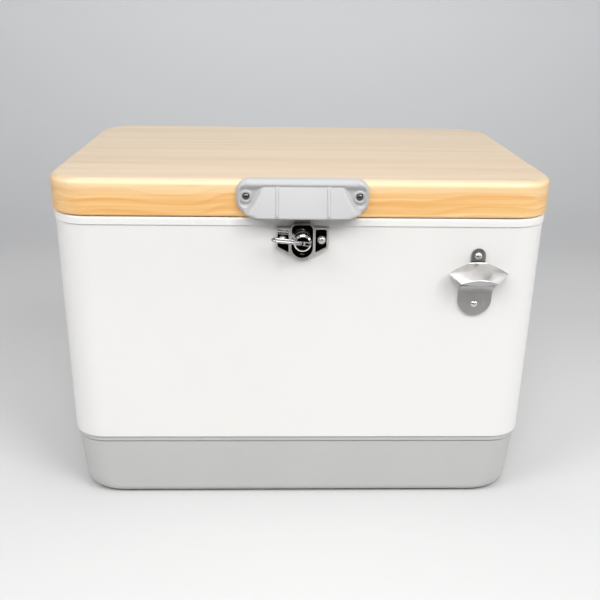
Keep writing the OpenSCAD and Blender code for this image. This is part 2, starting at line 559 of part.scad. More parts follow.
module lid_insulation() {
    color([0.93, 0.88, 0.66]) union() {
        slab(rec_w - 0.8, 15.6, lid_bot + 2.8, 23.9);
        slab(plug_w - 5.6, 17.2, lid_bot - 9.7, 13);
    }
}
module lid_gasket() {
    color([0.3, 0.3, 0.3]) difference() {
        slab(gas_w + 15.4, 28.7, rim_top + 0.1, 2.5);
        slab(gas_w + 0.6, 21.3, rim_top - 1, 5);
    }
}
module lid_liner_screws() {
    color([0.7, 0.7, 0.7]) for (p = screw_ring) translate([p[0], p[1], lid_bot + 0.25]) difference() {
        union() {
            cylinder(h = 1.6, r1 = 3.15, r2 = 1.55, $fn = 32);
            cylinder(h = 12, r = 1.5, $fn = 24);
        }
        for (a = [0, 90]) rotate([0, 0, a]) translate([-1.4, -0.3, -1]) cube([2.8, 0.6, 1.9]);
    }
}
// moulded pull on the front edge of the lid: flat ends with screw bosses,
// a hood in the middle that leans out over a finger hollow
module lid_pull_handle() {
    yb = -lid_d / 2 - 0.15; zb = 369.5; zt = 410; hw = 73.2;
    color([0.87, 0.87, 0.87]) difference() {
        union() {
            xz(yb + 8, 14.2) hull() {
                for (s = [-1, 1]) { translate([s * (hw - 9), zt - 9]) circle(r = 9, $fn = 48); translate([s * (hw - 17), zb + 17]) circle(r = 17, $fn = 48); }
            }
            hull() {
                translate([-48, yb - 5, 404]) cube([96, 1.2, 1]);
                translate([-57, yb - 1, zb + 0.5]) cube([114, 2, 3]);
                translate([-50, yb - 19, zb + 3]) cube([100, 6, 2]);
                translate([-47, yb - 18, zb + 0.6]) cube([94, 5, 2]);
                translate([-50, yb - 17.8, zb + 9]) cube([100, 2, 2]);
            }
            for (s = [-1, 1]) hull() {
                translate([s * 28.2 - 1.1, yb - 5, 404]) cube([2.2, 0.9, 1]);
                translate([s * 28.2 - 1.1, yb - 19.8, zb + 4]) cube([2.2, 8, 5]);
            }
        }
        // the back follows the board's face and its rounded top edge
        soft_block(lid_w + 0.3, lid_w + 0.3, lid_r, lid_r, 340, lid_top + 0.15, 0, top_round, 6);
        // finger hollow, open below
        hull() {
            translate([-44, yb - 1.6, 398]) cube([88, 0.8, 1]);
            translate([-47, yb - 15.5, zb - 2]) cube([94, 12.5, 8]);
        }
        // room for the strap and its screws
        translate([-10.5, yb - 3.4, 360]) cube([21, 6, 38]);
        for (s = [-1, 1]) {
            front_at(s * 62.5, -180, 391.3) cylinder(h = 40, r = 2.2, $fn = 24);
            front_at(s * 62.5, yb - 2.9, 391.3) cylinder(h = 40, r = 4.8, $fn = 40);
        }
    }
}
module pull_handle_screws() {
    color([0.75, 0.75, 0.75]) for (s = [-1, 1]) front_at(s * 62.5, -lid_d / 2 - 3.08, 391.3) screw(30, 4, 8, 2.2);
}

base_tub();
base_feet();
outer_shell();
inner_liner();
wall_insulation();
latch_housing();
latch_screws();
latch_backing_plate();
bottle_opener();
opener_screws();
opener_backing_plate();
left_handle_plate();
right_handle_plate();
side_handle_screws();
side_backing_plates();
hinge_body_leaves();
hinge_pads();
hinge_body_screws();
hinge_backing_plates();
hinge_pins();
drain_spout();
drain_gasket();
drain_nut();
lid_board();
lid_liner();
lid_insulation();
lid_gasket();
lid_liner_screws();
lid_pull_handle();
pull_handle_screws();
strike_strap();
strike_screws();
hinge_lid_leaves();
hinge_lid_screws();
turn_knob();
latch_cam();
loop_pin();
pull_loop();
left_bail();
left_grip();
right_bail();
right_grip();
drain_cap();
drain_cap_seal();
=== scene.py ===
import json
import math

import bmesh
import bpy
import numpy as np
from mathutils import Matrix, Vector


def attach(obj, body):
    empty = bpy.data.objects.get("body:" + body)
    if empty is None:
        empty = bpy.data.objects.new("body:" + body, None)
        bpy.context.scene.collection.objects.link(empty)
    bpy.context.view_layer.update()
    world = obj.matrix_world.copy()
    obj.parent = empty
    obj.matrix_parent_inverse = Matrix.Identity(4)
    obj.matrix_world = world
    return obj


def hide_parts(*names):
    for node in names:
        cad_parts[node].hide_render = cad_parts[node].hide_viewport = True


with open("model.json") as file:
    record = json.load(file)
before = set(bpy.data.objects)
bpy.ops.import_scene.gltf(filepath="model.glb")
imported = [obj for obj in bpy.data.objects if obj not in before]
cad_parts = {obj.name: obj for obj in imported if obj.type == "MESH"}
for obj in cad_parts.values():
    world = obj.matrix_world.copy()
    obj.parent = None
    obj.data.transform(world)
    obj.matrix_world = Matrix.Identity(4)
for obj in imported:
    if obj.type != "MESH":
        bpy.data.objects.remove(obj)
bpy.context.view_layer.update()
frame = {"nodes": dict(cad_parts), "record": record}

MM = 0.001
NODES = frame["nodes"]

# ------------------------------------------------------------------ mesh helpers


def make(name, verts, faces, angle=32, wn=True):
    """A smooth-shaded mesh object from millimetre vertices."""
    me = bpy.data.meshes.new(name)
    me.from_pydata([tuple(float(c) * MM for c in v) for v in verts], [], [tuple(f) for f in faces])
    me.validate()
    ob = bpy.data.objects.new(name, me)
    bpy.context.scene.collection.objects.link(ob)
    tidy(ob, angle, wn)
    return ob


def tidy(ob, angle=32, wn=True):
    me = ob.data
    bm = bmesh.new()
    bm.from_mesh(me)
    bmesh.ops.remove_doubles(bm, verts=bm.verts, dist=2e-6)
    bmesh.ops.dissolve_degenerate(bm, edges=bm.edges, dist=1e-6)
    bmesh.ops.recalc_face_normals(bm, faces=bm.faces)
    bm.to_mesh(me)
    bm.free()
    me.shade_smooth()
    me.set_sharp_from_angle(angle=math.radians(angle))
    if wn and not any(m.type == "WEIGHTED_NORMAL" for m in ob.modifiers):
        m = ob.modifiers.new("wn", "WEIGHTED_NORMAL")
        m.keep_sharp = True
        m.weight = 60


def boolean(ob, other, op="UNION"):
    """Bakes an exact boolean into ob's mesh and drops the other object."""
    m = ob.modifiers.new("b", "BOOLEAN")
    m.operation = op
    m.solver = "EXACT"
    m.object = other
    mods = [x for x in ob.modifiers if x.type == "WEIGHTED_NORMAL"]
    for x in mods:
        ob.modifiers.remove(x)
    dg = bpy.context.evaluated_depsgraph_get()
    dg.update()
    me = bpy.data.meshes.new_from_object(ob.evaluated_get(dg))
    ob.modifiers.clear()
    ob.data = me
    bpy.data.objects.remove(other)


LID_W, LID_D, LID_R = 570.0, 379.5, 46.5
DIFF = LID_W - LID_D


def rad(w):
    return LID_R - (LID_W - w) / 2


def ring(w, r, z, n=20, bump=None, dy=0.0):
    """Rounded rectangle, counter-clockwise, corner by corner. bump adds four points on the back edge."""
    d = w - DIFF
    r = max(r, 0.5)
    pts = []
    for c in range(4):
        sx = 1 if c in (0, 3) else -1
        sy = 1 if c < 2 else -1
        for i in range(n + 1):
            a = math.radians(90 * c + 90 * i / n)
            pts.append((sx * (w / 2 - r) + r * math.cos(a), sy * (d / 2 - r) + r * math.sin(a) + dy, z))
        if c == 0 and bump is not None:
            for x, k in ((7, 0), (6.3, 1), (-6.3, 1), (-7, 0)):
                pts.append((x, d / 2 + bump * k + dy, z))
    return pts


def loft(name, rings, caps=(True, True), closed=False, angle=32):
    m = len(rings[0])
    verts = [p for r in rings for p in r]
    faces = []
    n = len(rings)
    for k in range(n if closed else n - 1):
        a, b = k * m, ((k + 1) % n) * m
        for i in range(m):
            j = (i + 1) % m
            faces.append((a + i, a + j, b + j, b + i))
    if caps[0] and not closed:
        faces.append(tuple(range(m - 1, -1, -1)))
    if caps[1] and not closed:
        faces.append(tuple((n - 1) * m + i for i in range(m)))
    return make(name, verts, faces, angle)


def arc(w, r, z, k, a0, a1, sz, n=8, sgn=-1):
    """Rings of an edge fillet: the outline shrinks by k*(1-sin t) and z moves by k*(1-cos t)."""
    out = []
    for i in range(n + 1):
        t = math.radians(a0 + (a1 - a0) * i / n)
        q = k * (1 - math.sin(t))
        out.append((w + sgn * 2 * q, r + sgn * q, z + sz * k * (1 - math.cos(t))))
    return out


def lathe(name, prof, n=64, angle=32, cx=0, cy=0, cz=0, axis="z"):
    """Spins (radius, height) points; a radius of 0 closes the end."""
    verts, faces, rows = [], [], []
    for r, h in prof:
        if r < 1e-6:
            rows.append([len(verts)] * n)
            verts.append((0, 0, h))
        else:
            row = []
            for i in range(n):
                a = 2 * math.pi * i / n
                row.append(len(verts))
                verts.append((r * math.cos(a), r * math.sin(a), h))
            rows.append(row)
    for a, b in zip(rows, rows[1:]):
        for i in range(n):
            j = (i + 1) % n
            q = []
            for v in (a[i], a[j], b[j], b[i]):
                if v not in q:
                    q.append(v)
            if len(q) > 2:
                faces.append(q)
    out = []
    for x, y, z in verts:
        if axis == "x":
            x, y, z = z, x, y
        elif axis == "-y":
            x, y, z = x, -z, y
        out.append((x + cx, y + cy, z + cz))
    return make(name, out, faces, angle)


# ------------------------------------------------------------------ materials


def srgb(r, g, b):
    def f(c):
        c /= 255
        return c / 12.92 if c <= 0.04045 else ((c + 0.055) / 1.055) ** 2.4
    return (f(r), f(g), f(b), 1)


class Tree:
    def __init__(self, name):
        self.m = bpy.data.materials.new(name)
        self.m.use_nodes = True
        self.t = self.m.node_tree
        self.b = self.t.nodes["Principled BSDF"]
        self.out = self.t.nodes["Material Output"]

    def n(self, kind, **kw):
        node = self.t.nodes.new(kind)
        for k, v in kw.items():
            if hasattr(node, k):
                setattr(node, k, v)
            else:
                node.inputs[k].default_value = v
        return node

    def l(self, a, b):
        self.t.links.new(a, b)

    def coord(self, scale=(1, 1, 1), rot=(0, 0, 0), loc=(0, 0, 0)):
        tc = self.n("ShaderNodeTexCoord")
        mp = self.n("ShaderNodeMapping")
        mp.inputs["Scale"].default_value = scale
        mp.inputs["Rotation"].default_value = rot
        mp.inputs["Location"].default_value = loc
        self.l(tc.outputs["Object"], mp.inputs["Vector"])
        return mp.outputs["Vector"]

    def noise(self, vec, scale, detail=3, rough=0.5, dist=0.0):
        n = self.n("ShaderNodeTexNoise")
        n.inputs["Scale"].default_value = scale
        n.inputs["Detail"].default_value = detail
        n.inputs["Roughness"].default_value = rough
        n.inputs["Distortion"].default_value = dist
        self.l(vec, n.inputs["Vector"])
        return n.outputs["Fac"]

    def ramp(self, fac, stops):
        r = self.n("ShaderNodeValToRGB")
        e = r.color_ramp.elements
        while len(e) < len(stops):
            e.new(0.5)
        for x, (p, c) in zip(e, stops):
            x.position = p
            x.color = c if len(c) == 4 else (*c, 1)
        self.l(fac, r.inputs["Fac"])
        return r.outputs["Color"]

    def maprange(self, v, a, b, c, d, smooth=False):
        m = self.n("ShaderNodeMapRange")
        if smooth:
            m.interpolation_type = "SMOOTHSTEP"
        for k, x in zip(("From Min", "From Max", "To Min", "To Max"), (a, b, c, d)):
            m.inputs[k].default_value = x
        self.l(v, m.inputs["Value"])
        return m.outputs["Result"]

    def mix(self, fac, a, b, mode="MIX"):
        m = self.n("ShaderNodeMix", data_type="RGBA", blend_type=mode)
        for sock, v in ((m.inputs["Factor"], fac), (m.inputs["A"], a), (m.inputs["B"], b)):
            pass
        ins = [i for i in m.inputs if i.enabled]
        for sock, v in zip((ins[0], ins[1], ins[2]), (fac, a, b)):
            if isinstance(v, (int, float)):
                sock.default_value = v
            elif isinstance(v, tuple):
                sock.default_value = v if len(v) == 4 else (*v, 1)
            else:
                self.l(v, sock)
        return [o for o in m.outputs if o.enabled][0]

    def math(self, op, a, b=None, c=None):
        m = self.n("ShaderNodeMath", operation=op)
        for i, v in enumerate((a, b, c)):
            if v is None:
                continue
            if isinstance(v, (int, float)):
                m.inputs[i].default_value = v
            else:
                self.l(v, m.inputs[i])
        return m.outputs[0]

    def bump(self, h, strength=0.2, dist=0.0005, base=None):
        b = self.n("ShaderNodeBump")
        b.inputs["Strength"].default_value = strength
        b.inputs["Distance"].default_value = dist
        self.l(h, b.inputs["Height"])
        if base is not None:
            self.l(base, b.inputs["Normal"])
        return b.outputs["Normal"]

    def edge(self, radius=0.0006):
        """0 on flats, 1 on convex edges."""
        bv = self.n("ShaderNodeBevel", samples=6)
        bv.inputs["Radius"].default_value = radius
        geo = self.n("ShaderNodeNewGeometry")
        dot = self.n("ShaderNodeVectorMath", operation="DOT_PRODUCT")
        self.l(bv.outputs["Normal"], dot.inputs[0])
        self.l(geo.outputs["Normal"], dot.inputs[1])
        return self.maprange(dot.outputs["Value"], 0.995, 0.85, 0.0, 1.0)


def plastic(name, col, rough=0.5, tex=0.25, grain=900, var=0.02, edge=0.12, sub=0.0, coat=0.0):
    t = Tree(name)
    v = t.coord()
    big = t.noise(v, 9, 4, 0.6)
    fine = t.noise(v, grain, 3, 0.6)
    c = srgb(*col)
    dark = tuple(x * (1 - 2.2 * var) for x in c[:3])
    light = tuple(min(1, x * (1 + var)) for x in c[:3])
    base = t.ramp(big, [(0.2, dark), (0.8, light)])
    # edges are painted lighter: a painted highlight
    base = t.mix(t.math("MULTIPLY", t.edge(0.0005), edge), base, (min(1, c[0] * 1.25), min(1, c[1] * 1.25), min(1, c[2] * 1.25), 1))
    t.l(base, t.b.inputs["Base Color"])
    t.l(t.maprange(big, 0.3, 0.7, rough - 0.05, rough + 0.05), t.b.inputs["Roughness"])
    t.l(t.bump(fine, tex, 0.00012), t.b.inputs["Normal"])
    t.b.inputs["Specular IOR Level"].default_value = 0.45
    t.b.inputs["Coat Weight"].default_value = coat
    t.b.inputs["Coat Roughness"].default_value = 0.12
    if sub:
        t.b.inputs["Subsurface Weight"].default_value = sub
        t.b.inputs["Subsurface Radius"].default_value = (0.004, 0.004, 0.004)
    return t.m


def enamel(name, col, rough=0.32):
    t = Tree(name)
    v = t.coord()
    big = t.noise(v, 4, 3, 0.55)
    peel = t.noise(v, 260, 2, 0.5)
    fine = t.noise(v, 1500, 2, 0.5)
    c = srgb(*col)
    base = t.ramp(big, [(0.3, tuple(x * 0.975 for x in c[:3])), (0.7, c[:3])])
    # a little grime in random patches
    base = t.mix(t.math("MULTIPLY", t.noise(t.coord(loc=(3, 1, 2)), 30, 5, 0.7), 0.05), base, srgb(214, 206, 194))
    t.l(base, t.b.inputs["Base Color"])
    t.l(t.maprange(big, 0.3, 0.7, rough - 0.04, rough + 0.06), t.b.inputs["Roughness"])
    n1 = t.bump(peel, 0.05, 0.0004)
    t.l(t.bump(fine, 0.06, 0.0001, n1), t.b.inputs["Normal"])
    t.b.inputs["Coat Weight"].default_value = 0.25
    t.b.inputs["Coat Roughness"].default_value = 0.18
    return t.m


def metal(name, col, rough=0.2, brush=None, var=0.1, edge=0.3, aniso=0.0, smudge=0.08, er=0.0, erad=0.0004):
    """brush is a scale triple: long streaks lie along the axis with the small number."""
    t = Tree(name)
    v = t.coord()
    big = t.noise(v, 60, 4, 0.6)
    c = srgb(*col)
    base = t.ramp(big, [(0.3, tuple(x * (1 - var) for x in c[:3])), (0.7, c[:3])])
    # edges are painted lighter: a painted highlight
    rim = t.edge(erad)
    base = t.mix(t.math("MULTIPLY", rim, edge), base, tuple(min(1, x * 1.4) for x in c[:3]) + (1,))
    t.l(base, t.b.inputs["Base Color"])
    t.b.inputs["Metallic"].default_value = 1
    rsock = t.maprange(big, 0.25, 0.75, rough - smudge * 0.3, rough + smudge)
    if brush:
        st = t.noise(t.coord(scale=brush), 1, 3, 0.6)
        rsock = t.math("ADD", rsock, t.maprange(st, 0.3, 0.7, -0.05, 0.09))
        t.l(t.bump(st, 0.35, 0.00006), t.b.inputs["Normal"])
    else:
        t.l(t.bump(t.noise(v, 500, 3, 0.6), 0.02, 0.0001), t.b.inputs["Normal"])
    # er also makes the edges rougher and less metallic so they read pale, part of the painted highlight
    if er:
        rsock = t.math("ADD", rsock, t.math("MULTIPLY", rim, er))
        t.l(t.maprange(rim, 0, 1, 1.0, 0.5), t.b.inputs["Metallic"])
    t.l(rsock, t.b.inputs["Roughness"])
    t.b.inputs["Anisotropic"].default_value = aniso
    return t.m


def wood():
    t = Tree("oiled wood")
    geo = t.n("ShaderNodeNewGeometry")
    sep = t.n("ShaderNodeSeparateXYZ")
    t.l(geo.outputs["Normal"], sep.inputs[0])
    up = t.maprange(sep.outputs["Z"], 0.35, 0.95, 0, 1, True)
    # slow bending of the growth lines along the board
    warp = t.noise(t.coord(scale=(6.5, 2, 3)), 1, 2, 0.5)

    def bent(sx, sy, sz, amp):
        add = t.n("ShaderNodeVectorMath", operation="ADD")
        comb = t.n("ShaderNodeCombineXYZ")
        t.l(t.maprange(warp, 0, 1, -amp * sz, amp * sz), comb.inputs[2])
        t.l(t.coord(scale=(sx, sy, sz)), add.inputs[0])
        t.l(comb.outputs[0], add.inputs[1])
        return add.outputs[0]

    # the visible faces: fine straight lines on top, broader wavy ones on the edge
    fine = t.noise(t.coord(scale=(2.6, 150, 150)), 1, 4, 0.62, 0.3)
    mid = t.noise(t.coord(scale=(0.9, 42, 60)), 1, 3, 0.55, 0.7)
    streak = t.noise(bent(2.2, 30, 125, 0.008), 1, 3, 0.6, 0.25)
    hair = t.noise(bent(4.5, 60, 620, 0.008), 1, 3, 0.6, 0.2)
    wv = t.n("ShaderNodeTexWave", wave_type="BANDS", bands_direction="Z", wave_profile="SAW")
    wv.inputs["Scale"].default_value = 2.6
    wv.inputs["Distortion"].default_value = 5.5
    wv.inputs["Detail"].default_value = 3
    wv.inputs["Detail Scale"].default_value = 0.9
    wv.inputs["Detail Roughness"].default_value = 0.45
    t.l(bent(0.55, 9, 9, 0.03), wv.inputs["Vector"])
    top = t.ramp(mid, [(0.28, srgb(203, 178, 143)), (0.5, srgb(214, 191, 159)), (0.72, srgb(223, 202, 171))])
    top = t.mix(0.34, top, t.ramp(fine, [(0.3, srgb(184, 152, 113)), (0.5, srgb(214, 191, 159)), (0.7, srgb(231, 212, 183))]))
    side = t.ramp(streak, [(0.34, srgb(236, 166, 84)), (0.47, srgb(246, 190, 116)), (0.56, srgb(250, 205, 138)), (0.7, srgb(254, 222, 168))])
    side = t.mix(0.3, side, t.ramp(wv.outputs["Fac"], [(0.0, srgb(252, 210, 150)), (0.55, srgb(246, 190, 116)), (0.86, srgb(230, 156, 74)), (1.0, srgb(250, 204, 140))]))
    side = t.mix(0.22, side, t.ramp(hair, [(0.3, srgb(226, 156, 78)), (0.7, srgb(255, 226, 174))]))
    # a pale band along the upper part of the edge is a painted highlight of the top fillet
    zz = t.n("ShaderNodeSeparateXYZ")
    t.l(t.coord(), zz.inputs[0])
    fillet_highlight_z = t.math("ADD", zz.outputs["Z"], t.maprange(warp, 0, 1, -0.004, 0.004))
    side = t.mix(t.math("MULTIPLY", t.maprange(fillet_highlight_z, 0.39, 0.403, 0, 1, True), 0.78), side, srgb(253, 225, 182))
    # end grain on the two short sides
    rg = t.n("ShaderNodeTexWave", wave_type="RINGS", rings_direction="X", wave_profile="SAW")
    rg.inputs["Scale"].default_value = 62
    rg.inputs["Distortion"].default_value = 2.2
    rg.inputs["Detail"].default_value = 2
    rg.inputs["Detail Scale"].default_value = 0.35
    t.l(t.coord(scale=(0.02, 0.62, 1.0), loc=(0, 0.03, -0.30)), rg.inputs["Vector"])
    dots = t.noise(t.coord(scale=(2, 700, 900)), 1, 3, 0.6)
    end = t.ramp(rg.outputs["Fac"], [(0.0, srgb(250, 208, 144)), (0.6, srgb(244, 194, 124)), (0.9, srgb(228, 164, 88)), (1.0, srgb(248, 204, 140))])
    end = t.mix(0.3, end, t.ramp(dots, [(0.35, srgb(226, 168, 100)), (0.65, srgb(254, 220, 164))]))
    ax = t.math("ABSOLUTE", sep.outputs["X"])
    side = t.mix(t.maprange(ax, 0.7, 0.97, 0, 0.85, True), side, end)
    base = t.mix(up, side, top)
    pore = t.noise(t.coord(scale=(18, 900, 900)), 1, 2, 0.5)
    base = t.mix(t.math("MULTIPLY", t.maprange(pore, 0.62, 0.75, 0, 1), 0.25), base, srgb(160, 118, 72))
    t.l(base, t.b.inputs["Base Color"])
    t.l(t.maprange(fine, 0.3, 0.7, 0.36, 0.5), t.b.inputs["Roughness"])
    n1 = t.bump(fine, 0.12, 0.0003)
    t.l(t.bump(pore, 0.1, 0.0002, n1), t.b.inputs["Normal"])
    t.b.inputs["Coat Weight"].default_value = 0.55
    t.b.inputs["Coat Roughness"].default_value = 0.25
    return t.m


def foam_mat():
    t = Tree("insulating foam")
    v = t.coord()
    cell = t.n("ShaderNodeTexVoronoi")
    cell.inputs["Scale"].default_value = 420
    t.l(v, cell.inputs["Vector"])
    big = t.noise(v, 14, 5, 0.65)
    base = t.ramp(big, [(0.3, srgb(226, 205, 148)), (0.7, srgb(240, 225, 176))])
    t.l(base, t.b.inputs["Base Color"])
    t.b.inputs["Roughness"].default_value = 0.85
    t.l(t.bump(cell.outputs["Distance"], 0.4, 0.0004), t.b.inputs["Normal"])
    return t.m


MATS = {
    "base_plastic": plastic("grey base plastic", (196, 196, 194), 0.5, 0.3, 1100, 0.015, 0.1),
    "rubber_black": plastic("black rubber", (34, 34, 35), 0.72, 0.5, 700, 0.06, 0.05),
    "white_enamel": enamel("white enamel", (241, 240, 238)),
    "white_plastic": plastic("white plastic", (243, 242, 239), 0.3, 0.06, 700, 0.01, 0.06, 0.04, 0.2),
    "foam": foam_mat(),
    "chrome_plate": metal("chrome plate", (190, 190, 192), 0.07, None, 0.06, 0.2, 0.0, 0.05),
    "steel_brushed": metal("brushed steel", (190, 189, 188), 0.3, (260, 260, 9), 0.1, 0.25, 0.4),
    "zinc_plate": metal("zinc plate", (176, 176, 172), 0.33, None, 0.12, 0.2, 0.0, 0.12),
    "pull_plastic": plastic("pull plastic", (187, 187, 188), 0.42, 0.14, 900, 0.01, 0.08, 0.03, 0.05),
    "wood_oiled": wood(),
    "gasket_grey": plastic("grey gasket", (120, 121, 122), 0.62, 0.3, 900, 0.03, 0.04),
}


# the latch's edges are rougher than its polished faces, and are painted lighter and less metallic as a painted
# highlight
LATCH = metal("latch chrome", (226, 224, 221), 0.05, None, 0.05, 0.7, 0.0, 0.04, 0.42, 0.0014)


def rims():
    """The latch body: the raised rims and the dome's chamfer are satin and are painted pale and half metallic as a
    painted highlight; everything else is mirror.
    """
    t = Tree("latch body chrome")
    sp_ = t.n("ShaderNodeSeparateXYZ")
    t.l(t.coord(), sp_.inputs[0])
    y = sp_.outputs["Y"]
    a = t.math("MULTIPLY", t.maprange(y, -0.18895, -0.1894, 0, 1), t.maprange(y, -0.1913, -0.1908, 0, 1))
    b = t.math("MULTIPLY", t.maprange(y, -0.1951, -0.1955, 0, 1), t.maprange(y, -0.19674, -0.19668, 0, 1))
    m = t.math("MINIMUM", t.math("ADD", a, b), 1.0)
    # the rims' pale colour ramp and lowered metallic are a painted highlight
    rim_highlight_noise = t.noise(t.coord(), 420, 3, 0.6)
    big = t.noise(t.coord(), 60, 4, 0.6)
    t.l(t.mix(m, t.ramp(big, [(0.3, srgb(196, 195, 195)), (0.7, srgb(208, 207, 206))]), t.ramp(rim_highlight_noise, [(0.3, srgb(196, 190, 184)), (0.7, srgb(234, 231, 227))])), t.b.inputs["Base Color"])
    t.l(t.math("ADD", t.maprange(big, 0.3, 0.7, 0.04, 0.09), t.math("MULTIPLY", m, 0.33)), t.b.inputs["Roughness"])
    t.l(t.maprange(m, 0, 1, 1.0, 0.45), t.b.inputs["Metallic"])
    t.l(t.bump(t.noise(t.coord(), 500, 3, 0.6), 0.02, 0.0001), t.b.inputs["Normal"])
    return t.m


HOUSING = rims()
# the screw heads' lighter, rougher, less metallic edges are a painted highlight
SCREW = metal("plated screw", (226, 224, 221), 0.16, None, 0.08, 0.4, 0.0, 0.08, 0.35, 0.0006)
STRAP = metal("satin strap", (206, 203, 199), 0.38, (300, 300, 12), 0.08, 0.2, 0.0, 0.08)
DARK_SCREW = metal("dark plated screw", (118, 117, 116), 0.3, None, 0.12, 0.35, 0.0, 0.1)


def dress(ob, slot_name):
    ob.data.materials.clear()
    ob.data.materials.append(MATS[slot_name])


def stands_for(ob, slot_name, body, *nodes):
    dress(ob, slot_name)
    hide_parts(*nodes)
    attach(ob, body)


SLOT = {s["node"]: s["material_slot"] for s in frame["record"]["subparts"]}
BODY = {n: b for b, ns in frame["record"]["behaviour"]["bodies"].items() for n in ns}
for n, ob in NODES.items():
    dress(ob, SLOT[n])
for n, m in (("latch_housing", HOUSING), ("turn_knob", LATCH), ("pull_loop", MATS["chrome_plate"]), ("strike_strap", STRAP), ("pull_handle_screws", DARK_SCREW), ("opener_screws", SCREW), ("latch_screws", SCREW)):
    NODES[n].data.materials.clear()
    NODES[n].data.materials.append(m)
# the strap is satin steel; it is set half metallic so its pale colour reads bright in the pull's shadow, which is
# painted light
STRAP.node_tree.nodes["Principled BSDF"].inputs["Metallic"].default_value = 0.5

# ------------------------------------------------------------------ lid board
LB, LT, TR = 367.3, 409.2, 8.2
prof = [(496, 16, 394.3), (496, 16, 371.0), (497.5, 16.6, 370.2), (538, rad(538), 370.2), (538, rad(538), 368.2), (539, rad(539), LB)]
prof += arc(570, LID_R, LB, 2.6, 0, 90, 1)
prof += list(reversed(arc(570, LID_R, LT, TR, 0, 90, -1, 14)))
board = loft("wooden_lid_board", [ring(w, r, z, 24) for w, r, z in prof], angle=50)
stands_for(board, "wood_oiled", "lid", "lid_board")

# ------------------------------------------------------------------ steel wrap


def shell_w(z):
    return 561.1 + (565.3 - 561.1) * (z - 86.8) / (357.1 - 86.8)


rings = []
for z, k, b in [(86.8, 0.45, 0), (87.0, 0.12, 0), (87.3, 0, 0), (87.8, 0, 0.7), (150, 0, 0.7), (220, 0, 0.7), (290, 0, 0.7), (355.9, 0, 0.7), (356.4, 0, 0), (362.5, 0, 0)]:
    w = shell_w(z) - 2 * k
    rings.append(ring(w, rad(w), z, 24, b))
for z in (362.5, 220, 86.9):
    w = shell_w(z) - 1.6
    rings.append(ring(w, rad(w), z, 24, 0.0))
wrap = loft("steel_body_wrap", rings, closed=True, angle=38)
stands_for(wrap, "white_enamel", "chest", "outer_shell")

# ------------------------------------------------------------------ base tub
WB, WT, WL, LIP = 545.7, 554.9, 557.6, 80.2
prof = arc(WB, 38, 1.5, 10.5, 0, 90, 1, 14)
prof += [(WB + (WT - WB) * 0.9 * (z - 12) / 61, 38 + 4.5 * (z - 12) / 61, z) for z in (15, 18, 22, 28)]
# the four lower corners are fuller than the straight edges
prof = [(w, r + 17 * max(0, (24 - z) / 22.5) ** 2, z) for w, r, z in prof]
prof += [(WB + (WT - WB) * 0.9, rad(WT) - 0.5, 73), (WT - 0.2, rad(WT) - 0.1, LIP - 2.4), (WT - 0.5, rad(WT) - 0.25, LIP - 1.9), (WT - 1.9, rad(WT) - 0.95, LIP - 1.5), (WT - 2.1, rad(WT) - 1.05, LIP - 0.5), (WT - 1.4, rad(WT) - 0.7, LIP), (WL - 1.4, rad(WL) - 0.7, LIP),
         (WL - 0.4, rad(WL) - 0.2, LIP + 0.25), (WL, rad(WL), LIP + 0.9), (WL, rad(WL), 105.4), (WL - 6, rad(WL) - 3, 105.4), (WT - 6, rad(WT) - 3, LIP - 4), (WT - 6.4, rad(WT) - 3, 70),
         (WB - 6, 34, 18), (WB - 9, 32, 9), (WB - 20, 30, 4.5)]
tub = loft("moulded_base", [ring(w, r, z, 22) for w, r, z in prof], angle=38)
pad = lathe("pad", [(0, 0), (20, 0), (20, 11.2), (19.2, 12), (0, 12)], 72, cx=266.15, cy=100, cz=58, axis="x")
boolean(tub, pad)
hole = lathe("hole", [(0, 0), (8.3, 0), (8.3, 60), (0, 60)], 48, cx=240, cy=100, cz=58, axis="x")
boolean(tub, hole, "DIFFERENCE")
tidy(tub, 38)
stands_for(tub, "base_plastic", "chest", "base_tub")

# ------------------------------------------------------------------ liner and rim
WR, RTOP, RZ = 567.6, 366.4, 357.1
LW0, LW1 = 481.0, 493.6


def liner_w(z):
    return LW0 + (LW1 - LW0) * (z - 42) / (RTOP + 1 - 42)


prof = []
for i in range(9):
    t = math.radians(90 * i / 8)
    q = 11 * (1 - math.sin(t))
    prof.append((LW0 - 2 * q, 26 - q, 42 + 11 * (1 - math.cos(t))))
prof += [(liner_w(200), 26, 200)]
for i in range(7):
    t = math.radians(90 * i / 6)
    q = 3 * (1 - math.cos(t))
    prof.append((liner_w(RTOP - 3) + 2 * q, 26 + q, RTOP - 3 + 3 * math.sin(t)))
prof += [(a, b, c) for a, b, c in arc(WR, rad(WR), RTOP, 2.6, 0, 90, -1, 8)]
prof += [(WR, rad(WR), RZ + 0.5), (WR - 0.3, rad(WR) - 0.15, RZ + 0.05), (WR - 0.8, rad(WR) - 0.4, RZ), (WR - 2.2, rad(WR) - 1.1, RZ), (WR - 2.2, rad(WR) - 1.1, RTOP - 3.6)]
prof += [(liner_w(RTOP - 3.6) + 5, 28.5, RTOP - 3.6), (liner_w(200) + 5, 28.5, 200), (LW0 + 5, 28.5, 53), (LW0 + 0, 26, 44), (LW0 - 14, 22, 39.5)]
liner = loft("liner_and_rim", [ring(w, r, z, 22) for w, r, z in prof], angle=38)
hole = lathe("hole", [(0, 0), (8.3, 0), (8.3, 60), (0, 60)], 48, cx=225, cy=100, cz=58, axis="x")
boolean(liner, hole, "DIFFERENCE")
tidy(liner, 38)
stands_for(liner, "white_plastic", "chest", "inner_liner")

# ------------------------------------------------------------------ lid pull
FACE = -189.9
ZB, ZT, HW = 369.5, 410.0, 73.2
RB, RT = 18.0, 13.0


def half_w(z):
    if z < ZB + RB:
        return HW - RB + math.sqrt(max(0, RB * RB - (ZB + RB - z) ** 2))
    if z > ZT - RT:
        return HW - RT + math.sqrt(max(0, RT * RT - (z - ZT + RT) ** 2))
    return HW


